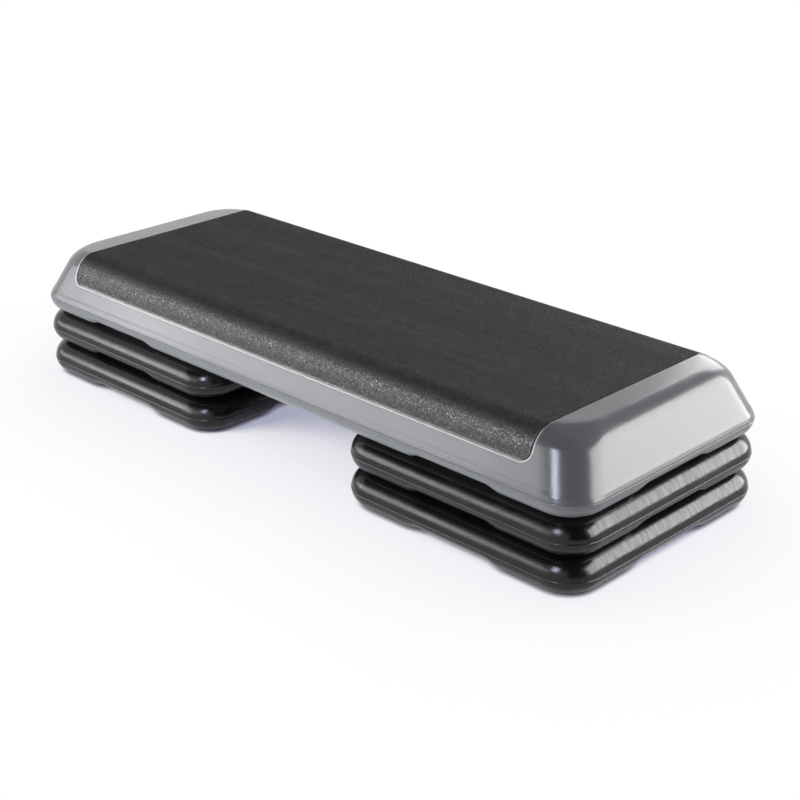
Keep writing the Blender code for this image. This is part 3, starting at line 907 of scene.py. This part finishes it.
def pebbled_rubber_material():
    """Black rubber with a close pebble grain, worn dull on top, with long faint scuffs.

    Its rolled edges keep the fresh grain's sparkle, in a band with a ragged upper limit.
    """
    material, tree, shader, place = new_material("pebbled_rubber")
    cell = {"Vector": place, "Scale": 700.0, "Randomness": 1.0, "Smoothness": 0.3}
    pebbles = add_node(tree, "ShaderNodeTexVoronoi", cell, feature="SMOOTH_F1").outputs["Distance"]
    domes = remap(tree, pebbles, 0.05, 0.75, 1.0, 0.0)
    lean = noise(tree, place, 420.0, 1.0)
    cells = add_node(tree, "ShaderNodeTexVoronoi", {"Vector": place, "Scale": 620.0}).outputs["Position"]
    sparkle = add_node(tree, "ShaderNodeTexWhiteNoise", {"Vector": cells}, noise_dimensions="3D")
    cell_gloss = sparkle.outputs["Value"]
    grit = noise(tree, place, 1500.0)
    mottle = noise(tree, place, 38.0, 4.0, 0.6)
    wear = noise(tree, place, (2.2, 34.0, 34.0), 4.0, 0.6)
    scuffs = remap(tree, noise(tree, place, (1.2, 26.0, 26.0), 5.0, 0.62), 0.25, 0.75, -0.11, 0.11)
    specks = plus(tree, minus(tree, domes, 0.5), minus(tree, cell_gloss, 0.5))
    level = axes(tree, place)["Z"]
    worn = under_top(tree, level, 0.016, 0.001)
    shade = plus(tree, times(tree, mottle, 0.45), times(tree, wear, 0.55))
    shade = plus(tree, shade, times(tree, specks, mixed(tree, worn, 0.62, 0.40)))
    shade = plus(tree, shade, scuffs)
    tint = tints(tree, shade, (0.34, (0.0190, 0.0183, 0.0172)), (0.50, (0.0340, 0.0328, 0.0311)),
                 (0.68, (0.0600, 0.0580, 0.0553)))
    beyond, below_top = beyond_tread(tree, place)
    # A pale line just inside the sheet's outline is a painted highlight along its rounded edge.
    edge = times(tree, remap(tree, beyond, -0.0020, -0.0006), below_top)
    painted_edge_highlight = (0.15, 0.15, 0.15)
    # In the rubber this is a band under the rolled edge where shoes rub the grain, and it changes only the
    # sheen.
    painted_highlight_and_rub_band = times(tree, under_top(tree, level, 0.034, 0.022),
                   under_top(tree, level, 0.0185, 0.0105, 1.0, 0.0))
    painted_highlight_and_rub_band = times(tree, painted_highlight_and_rub_band, remap(tree, noise(tree, place, 330.0), 0.35, 0.65, 0.3, 2.1))
    shine = mixed(tree, worn, remap(tree, cell_gloss, 0.0, 1.0, 0.77, 0.31), 0.23)
    fresh_roughness = mixed(tree, cell_gloss, 0.19, 0.64)
    worn_roughness = 0.80
    feed(tree, shader, {
        "Base Color": mixed(tree, edge, tint, painted_edge_highlight, "RGBA"),
        "Roughness": mixed(tree, worn, fresh_roughness, worn_roughness),
        "Specular IOR Level": times(tree, shine, plus(tree, times(tree, painted_highlight_and_rub_band, 0.55), 1.0)),
    })
    relief_bumps(tree, shader, [(lean, 0.0012), (domes, 0.00040), (grit, 0.00006)])
    return material


def tread_mesh():
    """The sheet, from its glued face to its rounded upper edge."""
    layers = [sheet_layer(0.0, TREAD_THICKNESS)]
    for depth, aside in quarter_round(TREAD_EDGE_ROUND):
        layers.append(sheet_layer(-aside, depth))
    mesh = sheet_block("tread_sheet", layers)
    mesh.transform(Matrix.Translation((0, 0, deck_low.z)))
    return mesh


tread_rubber = pebbled_rubber_material()
tread = new_object("tread_sheet", tread_mesh())
tread.data.materials.append(tread_rubber)
smooth(tread, 60)
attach(tread, "deck")
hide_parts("tread")

# Rubber feet
# Twenty round pads of black rubber, pressed into the pockets under each riser and under the deck,
# so that no piece slides on the next. Each sole has a shallow dimple in its middle.
FOOT_DIAMETER = 0.0240
FOOT_THICKNESS = 0.0030
DIMPLE_RADIUS = 0.0050
DIMPLE_DEPTH = 0.0006


def feet_tree():
    """Four feet at the corners of a rectangle."""
    tree, given = new_tree("rubber_feet", Object=["Foot"], Float=["Length", "Width"],
                           Vector=["Place"], Material=["Material"])
    feet = pattern(tree, given["Foot"], (given["Length"], given["Width"]), centre=given["Place"])
    close_tree(tree, feet, given["Material"])
    return tree


def foot_rubber_material():
    """Matt black rubber with a fine grain, dustier in patches."""
    material, tree, shader, place = new_material("foot_rubber")
    dust = noise(tree, place, 180.0, 3.0)
    grain = noise(tree, place, 1800.0)
    feed(tree, shader, {
        "Base Color": tints(tree, dust, (0.35, (0.014, 0.014, 0.014)), (0.75, (0.034, 0.033, 0.032))),
        "Roughness": remap(tree, dust, 0.3, 0.7, 0.72, 0.88),
    })
    relief_bumps(tree, shader, [(grain, 0.00004)])
    return material


foot_rubber = foot_rubber_material()
foot_radius = FOOT_DIAMETER / 2
foot_shape = turned("foot_shape", rounded([
    (0, DIMPLE_DEPTH, 0), (DIMPLE_RADIUS, DIMPLE_DEPTH, 0.0003), (0.0056, 0, 0.0003),
    (foot_radius, 0, 0.0009), (foot_radius, FOOT_THICKNESS, 0.0003), (0, FOOT_THICKNESS, 0)], steps=4))
feet_pattern = feet_tree()
for body in RISERS + ("deck",):
    corners = [f"{body}_foot_{side}_{end}" for side in ("front", "back") for end in ("left", "right")]
    first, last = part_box(corners[0])[0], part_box(corners[3])[1]
    feet = made_by(feet_pattern, body + "_feet", {
        "Foot": foot_shape,
        "Length": last.x - first.x - FOOT_DIAMETER,
        "Width": last.y - first.y - FOOT_DIAMETER,
        "Place": ((first.x + last.x) / 2, (first.y + last.y) / 2, first.z),
        "Material": foot_rubber,
    })
    smooth(feet, 60)
    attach(feet, body)
    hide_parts(*corners)

for helper in (riser_side, lug_shape, socket_shape, riser_well_shape, pocket_shape, vent_shape,
               deck_well_shape, deck_vent_shape, recess_shape, bead_shape, foot_shape):
    bpy.data.objects.remove(helper)

# Studio
# A white floor, soft light from large panels, and a black card and roof that only reflections see.
# The camera stands at the photograph's viewing angle.
CAMERA_AZIMUTH = math.radians(44.049)
CAMERA_ELEVATION = math.radians(23.5073)
CAMERA_ROLL = math.radians(0.1734)
CAMERA_DISTANCE = 2.3906
CAMERA_AIM = Vector((0.0, 0.0, 0.1))
CAMERA_SIDESTEP = Vector((0.04433, -0.04654, 0.0))
CAMERA_LENS = 74.14
CAMERA_SENSOR = 36.0
CAMERA_SHIFT = (-0.00284, -0.00379)
FLOOR_REACH = 6
CARD_FOOT = ((2.00, -0.01), (1.438, -1.263))
CARD_HEIGHT = 1.9
ROOF_REACH = 2.4
CONTACT_REACH = 0.013
SHADOW_REACH = 0.30
LEFT_STACK_SIDE = {"X": -0.623, "Y": -0.770, "Z": 0.139}
DEEP_SHADOW = (0.38, 0.38, 0.50)
WHITE = (1.0, 1.0, 1.0)
WARM = (1.0, 0.985, 0.965)
COOL = (0.76, 0.79, 1.0)

PANEL_AIM = Vector((0.0, 0.0, 0.12))
RIGHT_AIM = Vector((0.4, 0.0, 0.12))
BOARD_AIM = Vector((0.0, -0.44, 0.12))


def seen_by_camera(tree):
    """1 for what the camera sees, straight or in a reflection or through glass, and 0 for what lights."""
    rays = tree.nodes.new("ShaderNodeLightPath").outputs
    mirrored = maths(tree, "MAXIMUM", rays["Is Glossy Ray"], rays["Is Transmission Ray"])
    return maths(tree, "MAXIMUM", rays["Is Camera Ray"], mirrored)


def flat_stage(name, points, material):
    """One flat piece of the studio."""
    mesh = bpy.data.meshes.new(name)
    mesh.from_pydata(points, [], [(0, 1, 2, 3)])
    mesh.materials.append(material)
    piece = new_object(name, mesh)
    return piece


def square(reach, height):
    """The corners of a level square, which faces up."""
    return [(reach * x, reach * y, height) for x, y in ((-1, -1), (1, -1), (1, 1), (-1, 1))]


def openness(tree, reach, **more):
    """How little stands within reach over a point of the floor."""
    inputs = {"Distance": reach, **more}
    return add_node(tree, "ShaderNodeAmbientOcclusion", inputs, samples=16).outputs["AO"]


def white_floor_material():
    """White paper that glows for the camera.

    It darkens in a line under what rests on it, palely round the object, and in a soft bluish
    shadow behind the left stack.
    """
    material, tree = blank_material("white_floor")
    paper = add_node(tree, "ShaderNodeBsdfDiffuse", {"Color": (0.88, 0.88, 0.88)})
    close = openness(tree, CONTACT_REACH)
    wide = openness(tree, SHADOW_REACH)
    side = openness(tree, SHADOW_REACH, Normal=vector(tree, **LEFT_STACK_SIDE))
    contact = tints(tree, close, (0.05, (0.02, 0.02, 0.022)), (0.25, (0.40, 0.40, 0.41)), (0.46, WHITE))
    shade = tints(tree, wide, (0.15, (0.76, 0.76, 0.82)), (0.40, (0.87, 0.87, 0.905)),
                  (0.75, (0.93, 0.928, 0.955)), (0.97, WHITE))
    behind = times(tree, remap(tree, side, 0.59, 0.66, 1.0, 0.0), remap(tree, wide, 0.20, 0.32, 1.0, 0.0))
    shade = mixed(tree, behind, shade, DEEP_SHADOW, "RGBA")
    tint = add_node(tree, "ShaderNodeVectorMath", {0: contact, 1: shade}, operation="MULTIPLY")
    glow = add_node(tree, "ShaderNodeEmission", {"Color": tint, "Strength": 1.0})
    both = add_node(tree, "ShaderNodeMixShader", {0: seen_by_camera(tree), 1: paper, 2: glow})
    feed(tree, tree.nodes["Material Output"], {"Surface": both})
    return material


def panel(name, azimuth, elevation, distance, size, power, aim=PANEL_AIM, colour=WHITE, lights="all"):
    """A rectangular soft light, placed round its aim by its azimuth from +Y towards +X.

    It lights all that it reaches, or gives only the "sheen" or only the "matte" part. The camera
    doesn't see it.
    """
    turn = math.radians(azimuth)
    rise = math.radians(elevation)
    away = Vector((math.cos(rise) * math.sin(turn), math.cos(rise) * math.cos(turn), math.sin(rise)))
    lamp = bpy.data.lights.new(name, "AREA")
    lamp.shape = "RECTANGLE"
    lamp.size, lamp.size_y = size
    lamp.energy = power
    lamp.color = colour
    holder = new_object(name, lamp)
    holder.visible_diffuse = lights != "sheen"
    holder.visible_glossy = lights != "matte"
    holder.visible_camera = False
    holder.location = aim + away * distance
    holder.rotation_euler = (-away).to_track_quat("-Z", "Y").to_euler()


flat_stage("floor", square(FLOOR_REACH, 0), white_floor_material())

card_paper, card_tree = blank_material("black_card")
feed(card_tree, card_tree.nodes["Principled BSDF"], {
    "Base Color": (0.01, 0.01, 0.01),
    "Roughness": 1.0,
    "Specular IOR Level": 0.0,
})
card_ends = [(x, y, 0.001) for x, y in CARD_FOOT] + [(x, y, CARD_HEIGHT) for x, y in reversed(CARD_FOOT)]
facing_down = square(ROOF_REACH, CARD_HEIGHT)[::-1]
for name, corners in (("black_card", card_ends), ("black_roof", facing_down)):
    card = flat_stage(name, corners, card_paper)
    card.visible_camera = False
    card.visible_shadow = False
    card.visible_diffuse = False

world = bpy.data.worlds.new("studio")
world.use_nodes = True
sky = world.node_tree
dim = add_node(sky, "ShaderNodeBackground", {"Color": WHITE, "Strength": 0.12})
white = add_node(sky, "ShaderNodeBackground", {"Color": WHITE, "Strength": 1.0})
around = add_node(sky, "ShaderNodeMixShader", {0: seen_by_camera(sky), 1: dim, 2: white})
feed(sky, sky.nodes["World Output"], {"Surface": around})
bpy.context.scene.world = world

panel("right_back", 49, 18.5, 1.9, (2.6, 1.35), 30, RIGHT_AIM, WARM)
panel("right_back_sheen", 49, 18.5, 1.92, (2.6, 1.35), 80, RIGHT_AIM, WARM, lights="sheen")
panel("left_front", -142, 11, 2.2, (1.25, 0.72), 14.6)
panel("left_front_sheen", -142, 11, 2.22, (1.25, 0.72), 3.8, lights="sheen")
panel("far_left_front", -122, 6, 2.2, (0.9, 0.4), 4.4)
panel("front_sheen", -172, 14, 2.2, (0.85, 0.6), 4.0, lights="sheen")
panel("front_strip", 173, 30, 2.0, (0.42, 0.7), 21, RIGHT_AIM, COOL, lights="sheen")
panel("back_top", -10, 20, 2.2, (0.8, 0.8), 9)
panel("left_back", -50, 20, 2.2, (1.8, 0.7), 2.5)
panel("overhead", 0, 88, 2.1, (1.6, 1.6), 11)
panel("floor_board", 180, -89.9, 0.118, (1.1, 0.45), 2.6, BOARD_AIM, lights="matte")

back = Vector((math.sin(CAMERA_AZIMUTH) * math.cos(CAMERA_ELEVATION),
               -math.cos(CAMERA_AZIMUTH) * math.cos(CAMERA_ELEVATION), math.sin(CAMERA_ELEVATION)))
level_right = Vector((math.cos(CAMERA_AZIMUTH), math.sin(CAMERA_AZIMUTH), 0))
level_up = back.cross(level_right)
right = level_right * math.cos(CAMERA_ROLL) + level_up * math.sin(CAMERA_ROLL)
up = level_up * math.cos(CAMERA_ROLL) - level_right * math.sin(CAMERA_ROLL)
turn = Matrix((right, up, back)).transposed()
camera_data = bpy.data.cameras.new("camera")
camera_data.lens = CAMERA_LENS
camera_data.sensor_width = CAMERA_SENSOR
camera_data.shift_x, camera_data.shift_y = CAMERA_SHIFT
camera = new_object("camera", camera_data)
camera.matrix_world = Matrix.Translation(
    CAMERA_AIM + turn @ (CAMERA_SIDESTEP + Vector((0, 0, CAMERA_DISTANCE)))) @ turn.to_4x4()
bpy.context.scene.camera = camera
bpy.context.scene.view_settings.view_transform = "Standard"
